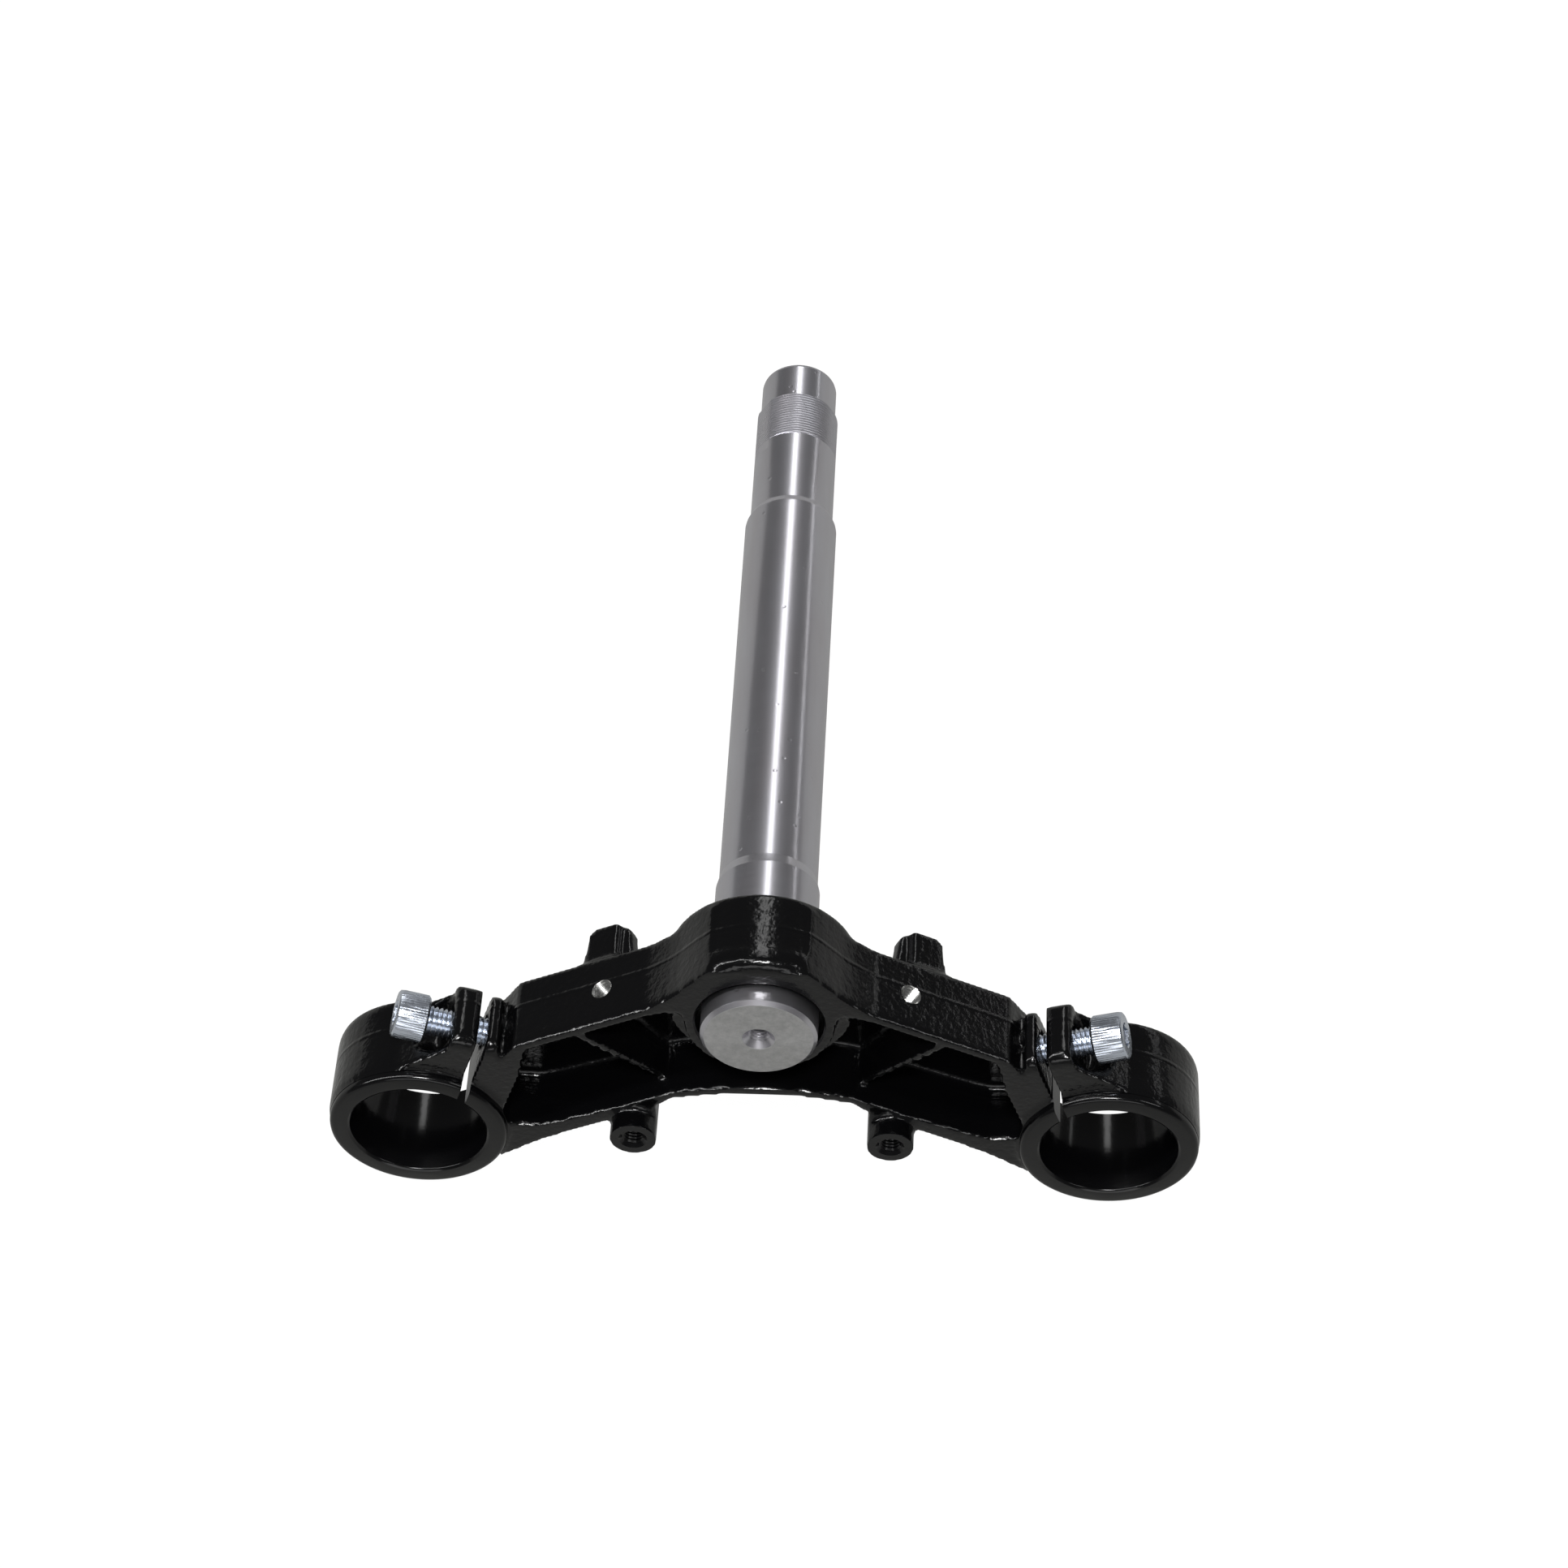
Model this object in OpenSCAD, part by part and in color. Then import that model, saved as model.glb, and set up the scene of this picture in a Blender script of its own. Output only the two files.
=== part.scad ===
// Lower triple clamp of a motorcycle fork, with its pressed-in steering stem and two pinch bolts.
// The stem axis is the Z axis, +Y is the side of the fork tubes, and z = 0 is the flat rim
// on the underside of the casting.

/* [Fork clamps] */
// Diameter of the fork tube that each clamp holds
fork_d = 37; // [33:0.5:41]
// Distance between the two fork tubes
fork_spacing = 186.8; // [180:0.2:196]
// Distance of the fork tubes in front of the stem axis
fork_offset = 48.8; // [45:0.2:53]
// Wall of the clamp around the fork tube
ring_wall = 6.1; // [4.5:0.1:8]
// Height of the machined fork bore
ring_h = 25.8; // [20:0.5:30]
// How far the machined end of a clamp stands below the flat rim
ring_proud = 2.8; // [0.5:0.1:4]
// Chamfer at both ends of the fork bore
bore_chamfer = 0.5; // [0.2:0.1:1.5]

/* [Casting] */
// Height of the two arms
arm_h = 21.9; // [18:0.1:26]
// Thickness of the closed top of the arms
web_t = 4.8; // [2.5:0.1:7]
// Thickness of the rear wall
rear_wall_t = 2.8; // [2:0.1:4]
// Thickness of the front wall
front_wall_t = 3; // [2:0.1:4.5]
// Distance from the outer end of the rear wall to the pinch bolt, sideways
rear_wall_gap = 9.8; // [8:0.1:14]
// Thickness of the diagonal rib in each pocket
rib_t = 2.2; // [1.5:0.1:3.5]
// Radius of the concave front wall
front_arc_r = 95; // [80:1:140]
// Distance from the stem axis to the front face of the front wall
front_face_y = 31.3; // [30.5:0.1:33]

/* [Hub] */
// Outer diameter of the hub
hub_d = 50.6; // [48:0.2:56]
// Height of the hub's machined top
hub_top = 24.6; // [22:0.1:30]
// Diameter of the counterbore around the head of the stem
counterbore_d = 33.8; // [32.5:0.1:36]
// Depth of the counterbore
counterbore_h = 8; // [5:0.5:12]
// Wall between the counterbore and the pockets
hub_ring_t = 3.1; // [2:0.1:4]
// Depth at which the hub thickens inside the pockets
collar_z = 5.5; // [3:0.5:10]
// Wall that the hub gains there
collar_t = 4.4; // [3:0.1:5]

/* [Pinch ears] */
// Distance of the slit from the fork axis, towards the stem
slit_in = 7.8; // [6:0.1:10]
// Distance of the bolt's axis behind the wall of the clamp
bolt_behind = 8.2; // [8:0.1:12]
// Height of the bolt
pinch_z = 10; // [9:0.5:11]
// Angle of the bolt in plan, its head turned to the rear
pinch_angle = 18; // [14:0.5:22]
// Width of the slit
slit_w = 2.5; // [1.5:0.1:3.5]
// Height of the outer ear
ear_h = 19.5; // [18:0.1:21]
// Thickness of the outer ear
ear_t = 7; // [5:0.5:9]
// Thickness of the inner ear behind the slit
inner_ear_t = 4.2; // [3:0.2:5.5]
// Reach of both ears behind the bolt
ear_reach = 7.5; // [7:0.5:9]

/* [Pinch bolts] */
// Thread diameter of a bolt
bolt_d = 8; // [6:1:8]
// Length of a bolt under its head
bolt_len = 25; // [22:1:28]
// Diameter of the bolt head
head_d = 13; // [12:0.5:14]
// Height of the bolt head
head_h = 8.5; // [7:0.5:10]
// Width across the flats of the hexagon socket
socket_af = 6; // [5:0.5:7]
// Depth of the hexagon socket
socket_h = 4.5; // [3:0.5:6]
// How far the left bolt's head stands off its ear
left_gap = 6.3; // [3:0.1:9]
// How far the right bolt's head stands off its ear
right_gap = 4.7; // [3:0.1:9]

/* [Brackets] */
// Distance of each front lug from the stem axis, sideways
lug_x = 34.6; // [32:0.2:37]
// Distance of each front lug in front of the stem axis
lug_y = 45.1; // [44:0.2:46.5]
// Diameter of a front lug
lug_d = 12.2; // [10:0.2:13]
// How far a front lug reaches below the flat rim
lug_drop = 6; // [3:0.5:9]
// Thread diameter in the lugs and in the rear wall
small_thread_d = 6; // [5:1:6]
// Depth of the threaded hole in a lug
lug_hole_h = 14; // [10:1:18]
// Distance of each threaded hole in the rear wall from the stem axis, sideways
rear_hole_x = 40.7; // [36:0.1:46]
// How far both of these holes sit to the left of that place
rear_hole_shift = 1.5; // [0:0.1:3]
// Height of the threaded holes in the rear wall
rear_hole_z = 11.5; // [9:0.1:12]
// Length of the boss behind each of those holes, inside the pocket
rear_boss_h = 5; // [3:0.5:6]

/* [Steering stops] */
// Distance of each steering stop from the stem axis, sideways
stop_x = 42.4; // [38:0.1:46]
// Width of a steering stop at its foot
stop_w = 14.5; // [12:0.5:17]
// Thickness of a steering stop
stop_t = 7; // [5:0.5:8]
// Height of a steering stop above the arm
stop_h = 12.3; // [8:0.1:14]
// Thickness of its outer half, behind the step
stop_step = 2.4; // [1:0.2:3]

/* [Steering stem] */
// Diameter of the stem's head
stem_head_d = 30.8; // [30:0.1:32]
// How far the head reaches below the flat rim
stem_drop = 4.8; // [3:0.1:7]
// Diameter where the stem is pressed into the hub
press_d = 29; // [28.2:0.1:30]
// Diameter of the lower bearing seat
seat_d = 28; // [27.2:0.1:28]
// Height of the upper end of that seat
seat_top = 44; // [38:0.5:50]
// Diameter of the plain tube
tube_d = 26.6; // [25.6:0.1:27]
// Height of the shoulder below the upper bearing seat
shoulder_z = 180; // [170:1:190]
// Diameter of the upper bearing seat and of the thread above it
upper_d = 24; // [23:0.1:25]
// Height at which the thread starts
thread_z0 = 209.3; // [202:0.1:214]
// Height at which the thread ends
thread_z1 = 225.6; // [218:0.1:230]
// Diameter of the plain end
end_d = 22.2; // [21:0.1:22.6]
// Height of the top of the stem
stem_top = 240; // [234:0.5:250]
// Width of the flat that keys the lock washer
key_w = 6.8; // [4:0.2:8]
// Direction of that flat, around the stem from the right-hand side
key_angle = 213; // [180:1:240]
// Diameter of the centre hole in the head
centre_hole_d = 5.4; // [4:0.2:6]
// Diameter of that hole's countersink
countersink_d = 8.4; // [7:0.2:9]

/* [Fits] */
// Clearance of a bolt in its threads, for each side
thread_gap = 0.1; // [0.05:0.05:0.2]
// Clearance of a bolt in the outer ear, for each side
bolt_gap = 0.4; // [0.2:0.1:0.6]
// Gap that is drawn around the pressed stem, for each side
press_gap = 0.02; // [0.01:0.01:0.05]

/* [Hidden] */

// Cuts run this far past the faces that they open
over = 1;
// A cut that must leave the part on one side is this long
far = 60;
sides = [-1, 1];

fork_x = fork_spacing / 2;
ring_r = fork_d / 2 + ring_wall;
// The slit and the bolt share a frame: u along the bolt to the outside, v along the slit to the front
ring_u = slit_in;
ring_v = ring_r + bolt_behind;
pinch_x = fork_x - ring_u * cos(pinch_angle) - ring_v * sin(pinch_angle);
pinch_y = fork_offset + ring_u * sin(pinch_angle) - ring_v * cos(pinch_angle);
ring_top = ring_h - ring_proud;
// The machined end of a clamp is a little smaller than the cast ring above it
ring_step = 0.5;

hub_r = hub_d / 2;
hub_ring_r = counterbore_d / 2 + hub_ring_t;
collar_r = hub_ring_r + collar_t;
hub_edge = 3.2;
hub_taper = 0.8;
hub_ridge_z = 5.6;
// The hub's nose leaves its circle here and runs through these points into the rear wall
nose = [[12.9, -21.6], [16, -18.4], [18.6, -15.4], [21.4, -12], [24, -9.4], [27, -6.9]];

pocket_top = arm_h - web_t;
corner_r = 2;

// Rear wall: a straight line from the hub's concave blend to its end beside the ears
rear_foot_x = hub_r + 4.7;
rear_foot_y = -4.6;
rear_end_x = pinch_x - rear_wall_gap;
rear_end_y = pinch_y - 6.6;
slope = (rear_end_y - rear_foot_y) / (rear_end_x - rear_foot_x);
sweep_angle = atan(slope);
function rear_y(x) = rear_foot_y + (x - rear_foot_x) * slope;
wall_shift = rear_wall_t / cos(sweep_angle);
pocket_end = rear_end_x - 5.6;

// Front wall: an arc about a centre far in front, then a straight run to the clamp
arc_end_x = 24;
function front_y(x) = front_face_y + front_arc_r - sqrt(front_arc_r * front_arc_r - x * x);
front_bend = [lug_x + 9.4, lug_y + 1.3];
front_run = [fork_x - 33.4, fork_offset + 6.2];
front_end = [fork_x - 21.4, fork_offset + 14.6];

half_slit = slit_w / 2;
ear_face = half_slit + ear_t;
spot_r = head_d / 2 + 1.5;
inner_ear_h = ear_h - 1;
ear_round = 2.5;
inner_tip_t = inner_ear_t - 0.8;
// The wall's end slants forward into a notch at the root of the inner ear
notch_u = -half_slit - inner_ear_t;
notch_v = -0.8;
notch = [
    pinch_x + notch_u * cos(pinch_angle) + notch_v * sin(pinch_angle),
    pinch_y - notch_u * sin(pinch_angle) + notch_v * cos(pinch_angle)];
notch_slant = atan2(notch[1] - rear_end_y - corner_r, notch[0] - rear_end_x) - 90;
// The flank runs from the outer ear to where it touches the ring
flank_angle = 28;
flank = [ring_u + ring_r * sin(flank_angle), ring_v - ring_r * cos(flank_angle)];
boss_r = bolt_d / 2 + 1.6;
boss_reach = 13.6;

stem_press_z = counterbore_h;
centre_hole_h = 16;
chamfer = 1.2;
small_depth = rear_wall_t + rear_boss_h;
small_boss_r = small_thread_d / 2 + 2.4;

module place(x, y, z = 0, turn = 0) {
    translate([x, y, z]) rotate([0, 0, turn]) children();
}

// Shapes the right side once and repeats it on the left
module both() {
    for (s = sides) mirror([s < 0 ? 1 : 0, 0, 0]) children();
}

module pinch_frame() {
    place(pinch_x, pinch_y, 0, -pinch_angle) children();
}

function arc(cx, cy, r, a0, a1, n = 8) =
    [for (i = [0 : n]) let (a = a0 + (a1 - a0) * i / n) [cx + r * cos(a), cy + r * sin(a)]];

// Plan of one arm, from the middle of the part to the clamp
function arm_points() = concat(
    [[-over, 0], [-over, nose[0][1]]],
    nose,
    [[rear_foot_x, rear_foot_y]],
    arc(rear_end_x - corner_r, rear_y(rear_end_x - corner_r) + corner_r + 0.3, corner_r, -64, notch_slant, 3),
    [notch, [pinch_x - 2, pinch_y + 3]],
    [[fork_x - 15, fork_offset - 4], front_end, front_run, front_bend],
    [[lug_x - 0.6, lug_y - 3], [lug_x - 5.6, lug_y - 6.7]],
    [for (x = [arc_end_x : -4 : 0]) [x, front_y(x)]],
    [[-over, front_face_y]]);

// Plan of the pocket in one arm
function pocket_points() = concat(
    [[-over, 0], [19, 0]],
    arc(23.4, -0.6, 3.2, 180, 292, 6),
    [[rear_foot_x, rear_foot_y + wall_shift]],
    arc(pocket_end, rear_y(pocket_end) + wall_shift + corner_r, corner_r, -62, -18, 3),
    [[pinch_x - 11.2, pinch_y + 6]],
    arc(fork_x - 26.4, fork_offset - 4.2, 3.4, -18, 88, 6),
    [[fork_x - 32, fork_offset - 0.4], [fork_x - 37.4, fork_offset - 2.2]],
    [[lug_x + 12.4, lug_y - 2.5], [lug_x + 3.4, lug_y - 6.5], [lug_x - 3.6, lug_y - 9.9]],
    [for (x = [arc_end_x : -4 : 0]) [x, front_y(x) - front_wall_t]],
    [[-over, front_face_y - front_wall_t]]);

module arm() {
    linear_extrude(arm_h) polygon(arm_points());
}

module hub() {
    intersection() {
        rotate_extrude($fn = 96) polygon(concat(
            [[0, 0]],
            arc(hub_r - hub_edge, hub_edge, hub_edge, -90, 0, 5),
            [[hub_r, hub_ridge_z], [hub_r - 0.4, hub_ridge_z + 0.4]],
            arc(hub_r - hub_taper - 1.5, hub_top - 1.5, 1.5, 0, 90, 4),
            [[0, hub_top]]));
        both() linear_extrude(far) polygon(concat(
            [[-over, -far], [nose[0][0], -far]], nose, [[far, nose[5][1]], [far, far], [-over, far]]));
    }
}

module fork_ring() {
    place(fork_x, fork_offset)
        rotate_extrude($fn = 96) polygon([
            [0, -ring_proud], [ring_r - ring_step - 0.6, -ring_proud], [ring_r - ring_step, -ring_proud + 0.6],
            [ring_r - ring_step, 0], [ring_r - 0.6, 0], [ring_r, 1],
            [ring_r, ring_top - 1], [ring_r - 1, ring_top], [0, ring_top]]);
}

// Both ears as one block, before the slit parts them
module ears() {
    pinch_frame() {
        intersection() {
            linear_extrude(ear_h) polygon(concat(
                [[half_slit, 0], [half_slit, -ear_reach + 1]],
                arc(half_slit + ear_round, -ear_reach + ear_round, ear_round, 200, 270, 3),
                arc(ear_face - ear_round, -ear_reach + ear_round, ear_round, -90, 0, 4),
                [[ear_face, -2], flank, [ring_u, ring_v], [0, ring_v]]));
            ear_side(ear_h);
        }
        intersection() {
            linear_extrude(inner_ear_h) polygon(concat(
                [[0, ring_v - ring_r + 6], [notch_u - 2, 8], [notch_u, notch_v]],
                arc(-half_slit - inner_tip_t + 1.2, -ear_reach + 1.2, 1.2, 180, 270, 3),
                [[0, -ear_reach]]));
            ear_side(inner_ear_h);
        }
    }
}

// Side view of the ears: their rear corners are rounded below and above
module ear_side(h) {
    r = 3.4;
    rotate([90, 0, 90]) translate([0, 0, -far / 2]) linear_extrude(2 * far) polygon(concat(
        arc(-ear_reach + r, r, r, 180, 270, 5),
        [[far, 0], [far, h]],
        arc(-ear_reach + r, h - r, r, 90, 180, 5)));
}

module lug() {
    place(lug_x, lug_y)
        rotate_extrude($fn = 48) polygon([
            [0, -lug_drop], [lug_d / 2 - 0.8, -lug_drop], [lug_d / 2, -lug_drop + 0.8],
            [lug_d / 2, arm_h - 1.5], [lug_d / 2 - 1.5, arm_h], [0, arm_h]]);
    place(lug_x, lug_y - 7) linear_extrude(arm_h) square([lug_d, 12], center = true);
}

module rib() {
    foot = [48, rear_y(48) + wall_shift - 1];
    end = [27.5, front_y(24) - front_wall_t + 0.6];
    run = norm(end - foot);
    turn = atan2(end[1] - foot[1], end[0] - foot[0]);
    place(foot[0], foot[1], 0, turn)
        translate([0, rib_t / 2, 0]) rotate([90, 0, 0]) linear_extrude(rib_t)
            polygon([[0, 0], [4, 0], [run, 5.8], [run, arm_h - over], [0, arm_h - over]]);
}

// Short rib that ties the thick part of the hub to the rear wall
module hub_gusset() {
    foot = [31.5, rear_y(31.5) + wall_shift - 1];
    end = [collar_r - 1.5, 4.5];
    run = norm(end - foot);
    place(foot[0], foot[1], 0, atan2(end[1] - foot[1], end[0] - foot[0]))
        translate([0, rib_t, 0]) rotate([90, 0, 0]) linear_extrude(rib_t)
            polygon([[0, 1], [run, collar_z], [run, arm_h - over], [0, arm_h - over]]);
}

// The wall thickens around the tapped end of the pinch bolt's hole
module pinch_boss() {
    pinch_frame() translate([0, 0, pinch_z]) rotate([0, -90, 0]) cylinder(h = boss_reach, r = boss_r, $fn = 40);
}

// Turns what it holds into the two threaded holes of the rear wall, which aren't quite symmetrical
module rear_places() {
    for (s = sides) let (x = rear_hole_x - s * rear_hole_shift)
        mirror([s < 0 ? 1 : 0, 0, 0]) place(x, rear_y(x), rear_hole_z, sweep_angle) rotate([-90, 0, 0]) children();
}

module rear_bosses() {
    rear_places() cylinder(h = small_depth, r = small_boss_r, $fn = 40);
}

module steering_stop() {
    place(stop_x, rear_y(stop_x) + 1.5, 0, sweep_angle) {
        intersection() {
            translate([-stop_w / 2, 0, arm_h - over]) cube([stop_w, stop_t, stop_h + over]);
            rotate([90, 0, 0]) translate([0, 0, -far / 2]) linear_extrude(far) polygon(concat(
                [[-stop_w / 2, arm_h - over]],
                arc(-stop_w / 2 + 4, arm_h + stop_h - 2.6, 2.6, 170, 90, 3),
                arc(stop_w / 2 - 4.2, arm_h + stop_h - 2.6, 2.6, 75, 10, 3),
                [[stop_w / 2, arm_h - over]]));
        }
    }
}

// Step on the inner side of a stop, which leaves its rear half narrow
module stop_cut() {
    place(stop_x, rear_y(stop_x) + 1.5, 0, sweep_angle)
        translate([-stop_w / 2 - over, -over, arm_h + over]) cube([5, stop_step + over, far]);
}

module pockets() {
    difference() {
        both() translate([0, 0, -over]) linear_extrude(pocket_top + over) polygon(pocket_points());
        translate([0, 0, -2 * over]) cylinder(h = arm_h + over, r = hub_ring_r, $fn = 96);
        translate([0, 0, collar_z]) cylinder(h = arm_h, r = collar_r, $fn = 96);
        both() {
            rib();
            hub_gusset();
            pinch_boss();
        }
        rear_bosses();
    }
}

module fork_bore() {
    place(fork_x, fork_offset, -ring_proud) {
        translate([0, 0, -over]) cylinder(h = ring_h + 2 * over, d = fork_d, $fn = 128);
        translate([0, 0, -over])
            cylinder(h = over + bore_chamfer, d1 = fork_d + 2 * (over + bore_chamfer), d2 = fork_d, $fn = 128);
        translate([0, 0, ring_h - bore_chamfer])
            cylinder(h = over + bore_chamfer, d1 = fork_d, d2 = fork_d + 2 * (over + bore_chamfer), $fn = 128);
    }
}

module slit() {
    pinch_frame() translate([-half_slit, -ear_reach - 5, -far / 2]) cube([slit_w, ring_v + ear_reach + 5, far * 2]);
}

module pinch_holes() {
    pinch_frame() translate([0, 0, pinch_z]) rotate([0, 90, 0]) {
        cylinder(h = far, r = bolt_d / 2 + bolt_gap, $fn = 48);
        translate([0, 0, ear_face]) cylinder(h = far, r = spot_r, $fn = 64);
        translate([0, 0, -boss_reach - over]) cylinder(h = boss_reach + 2 * over, d = bolt_d, $fn = 48);
    }
}

module lug_hole() {
    place(lug_x, lug_y, -lug_drop) {
        translate([0, 0, -over]) cylinder(h = lug_hole_h + over, d = small_thread_d, $fn = 40);
        translate([0, 0, -over]) cylinder(h = over + 0.7, d1 = small_thread_d + 3.4, d2 = small_thread_d, $fn = 40);
    }
}

module rear_holes() {
    rear_places() translate([0, 0, -over]) cylinder(h = small_depth + 2 * over, d = small_thread_d, $fn = 40);
}

module lower_clamp() {
    color([0.05, 0.05, 0.055]) difference() {
        union() {
            hub();
            both() {
                arm();
                ears();
                fork_ring();
                pinch_boss();
                lug();
                steering_stop();
            }
        }
        pockets();
        both() {
            fork_bore();
            slit();
            pinch_holes();
            lug_hole();
            stop_cut();
        }
        rear_holes();
        translate([0, 0, -over]) cylinder(h = counterbore_h + over, d = counterbore_d, $fn = 96);
        translate([0, 0, -over]) cylinder(h = hub_top + 2 * over, r = press_d / 2 + press_gap, $fn = 96);
    }
}

module steering_stem() {
    head_r = stem_head_d / 2;
    press_r = press_d / 2;
    seat_r = seat_d / 2;
    tube_r = tube_d / 2;
    upper_r = upper_d / 2;
    end_r = end_d / 2;
    color([0.55, 0.54, 0.52]) difference() {
        rotate_extrude($fn = 96) polygon([
            [0, -stem_drop], [head_r - chamfer, -stem_drop], [head_r, -stem_drop + chamfer],
            [head_r, stem_press_z], [press_r, stem_press_z], [press_r, hub_top], [seat_r, hub_top],
            [seat_r, seat_top], [tube_r, seat_top + 3], [tube_r, shoulder_z],
            [upper_r, shoulder_z + 3.4], [upper_r, thread_z1], [end_r, thread_z1 + 1],
            [end_r, stem_top - chamfer], [end_r - chamfer, stem_top], [0, stem_top]]);
        translate([0, 0, -stem_drop - over]) cylinder(h = centre_hole_h + over, d = centre_hole_d, $fn = 40);
        translate([0, 0, -stem_drop - over])
            cylinder(h = over + 1.5, d1 = countersink_d + 2 * over, d2 = centre_hole_d, $fn = 40);
        // Flat along the thread, on the side that the lock washer is keyed to
        rotate([0, 0, key_angle]) translate([sqrt(upper_r * upper_r - key_w * key_w / 4), -key_w, thread_z0 - 4])
            cube([upper_r, 2 * key_w, thread_z1 - thread_z0 + 1]);
    }
}

module pinch_bolt(gap) {
    r = bolt_d / 2 - thread_gap;
    head_r = head_d / 2;
    color([0.78, 0.80, 0.83]) pinch_frame()
        translate([ear_face + gap, 0, pinch_z]) rotate([0, 90, 0]) difference() {
            rotate_extrude($fn = 64) polygon([
                [0, -bolt_len], [r - 1, -bolt_len], [r, -bolt_len + 1], [r, 0], [head_r, 0],
                [head_r, head_h - 0.9], [head_r - 0.9, head_h], [0, head_h]]);
            translate([0, 0, head_h - socket_h])
                cylinder(h = socket_h + over, d = socket_af / cos(30), $fn = 6);
        }
}

module pinch_bolt_left() { mirror([1, 0, 0]) pinch_bolt(left_gap); }
module pinch_bolt_right() { pinch_bolt(right_gap); }

lower_clamp();
steering_stem();
pinch_bolt_left();
pinch_bolt_right();
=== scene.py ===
# %% [markdown]
# Lower triple clamp of a motorcycle fork.
#
# The real object is one black painted aluminium casting with a turned steel stem pressed into it
# and a socket head screw in each fork clamp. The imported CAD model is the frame: every piece that
# is made here sits exactly where the CAD says. The casting, the stem and the screws are all modelled
# again, because rounded cast edges and real threads are what the eye looks for on such a part.

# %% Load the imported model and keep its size
import bpy
import math
from mathutils import Matrix, Vector


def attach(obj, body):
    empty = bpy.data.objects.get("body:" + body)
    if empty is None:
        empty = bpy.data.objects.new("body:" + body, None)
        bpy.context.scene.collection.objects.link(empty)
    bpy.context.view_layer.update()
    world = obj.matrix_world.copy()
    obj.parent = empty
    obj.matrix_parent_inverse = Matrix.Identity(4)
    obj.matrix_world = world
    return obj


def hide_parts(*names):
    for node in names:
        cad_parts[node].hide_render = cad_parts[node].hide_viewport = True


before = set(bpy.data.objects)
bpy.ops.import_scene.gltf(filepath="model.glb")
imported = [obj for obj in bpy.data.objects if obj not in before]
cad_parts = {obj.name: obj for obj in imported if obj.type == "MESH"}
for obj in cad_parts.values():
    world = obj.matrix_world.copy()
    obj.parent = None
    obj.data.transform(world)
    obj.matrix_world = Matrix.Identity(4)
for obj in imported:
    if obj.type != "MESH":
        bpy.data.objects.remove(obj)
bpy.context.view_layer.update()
MM = 0.001

# %% [markdown]
# The camera looks up at the underside. The part lay on a white table with the stem pointing away,
# so in the part's own frame the camera is low in front of the rear wall. Its place and turn were
# worked out from measured points of the casting, and the lens from how the stem narrows with distance.

# %% Camera
bpy.ops.object.camera_add(location=(0.04347, -0.76890, -0.57619),
                          rotation=[math.radians(a) for a in (130.6065, -2.6742, 0.7549)])
camera = bpy.context.object
camera.data.lens = 84.6
camera.data.sensor_width = 36
camera.data.clip_start = 0.05
bpy.context.scene.camera = camera
bpy.context.scene.view_settings.view_transform = "Standard"

# %% [markdown]
# Two helpers keep the modelling cells short. An operator works on whatever is selected, so each
# step first clears the selection and picks one piece. A finished piece gets its transform applied,
# so that its place is in its mesh and a pattern on object coordinates stays put.

# %% Helpers for picking and finishing a piece
def pick(piece, *others):
    """Selects only these pieces and makes the first one active."""
    if bpy.context.object and bpy.context.object.mode != "OBJECT":
        bpy.ops.object.mode_set(mode="OBJECT")
    bpy.ops.object.select_all(action="DESELECT")
    for other in others:
        other.select_set(True)
    piece.select_set(True)
    bpy.context.view_layer.objects.active = piece
    return piece


def settle(piece):
    """Puts the piece's place and turn into its mesh."""
    pick(piece)
    bpy.ops.object.transform_apply(location=True, rotation=True, scale=True)
    return piece


def modify(piece, kind, **settings):
    """Adds one modifier and applies it at once."""
    pick(piece)
    modifier = piece.modifiers.new(kind.title(), kind)
    for name, value in settings.items():
        setattr(modifier, name, value)
    bpy.ops.object.modifier_apply(modifier=modifier.name)
    return piece


def outward(piece):
    """Merges doubles and turns every face outwards."""
    pick(piece)
    bpy.ops.object.mode_set(mode="EDIT")
    bpy.ops.mesh.select_all(action="SELECT")
    bpy.ops.mesh.remove_doubles(threshold=1e-6)
    bpy.ops.mesh.normals_make_consistent(inside=False)
    bpy.ops.object.mode_set(mode="OBJECT")
    return piece


def clean(piece):
    """Takes out the doubles and the faces without area that a boolean can leave."""
    pick(piece)
    bpy.ops.object.mode_set(mode="EDIT")
    bpy.ops.mesh.select_all(action="SELECT")
    bpy.ops.mesh.remove_doubles(threshold=2e-6)
    bpy.ops.mesh.dissolve_degenerate(threshold=2e-6)
    bpy.ops.object.mode_set(mode="OBJECT")
    return piece


def copy_of(piece, name):
    """Copies a piece with a mesh of its own."""
    twin = piece.copy()
    twin.data = piece.data.copy()
    twin.name = name
    bpy.context.collection.objects.link(twin)
    return twin

# %% [markdown]
# Round parts are made the way a lathe makes them: from a list of radii and heights. It could be a
# profile that is spun, but extruding a disc and scaling it at each step keeps the ends closed
# from the start. All sizes are in millimetres here and in metres in the mesh.

# %% A turned solid from radii and heights
def turned(name, steps, sides=96):
    r0, z0 = steps[0]
    bpy.ops.mesh.primitive_circle_add(vertices=sides, radius=r0 * MM, fill_type="NGON",
                                      location=(0, 0, z0 * MM))
    piece = bpy.context.object
    piece.name = name
    bpy.ops.object.mode_set(mode="EDIT")
    bpy.ops.mesh.select_all(action="SELECT")
    r, z = r0, z0
    for r1, z1 in steps[1:]:
        bpy.ops.mesh.extrude_region_move(TRANSFORM_OT_translate={"value": (0, 0, (z1 - z) * MM)})
        bpy.ops.transform.resize(value=(r1 / r, r1 / r, 1), center_override=(0, 0, z1 * MM))
        r, z = r1, z1
    bpy.ops.object.mode_set(mode="OBJECT")
    settle(piece)
    return outward(piece)


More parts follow.
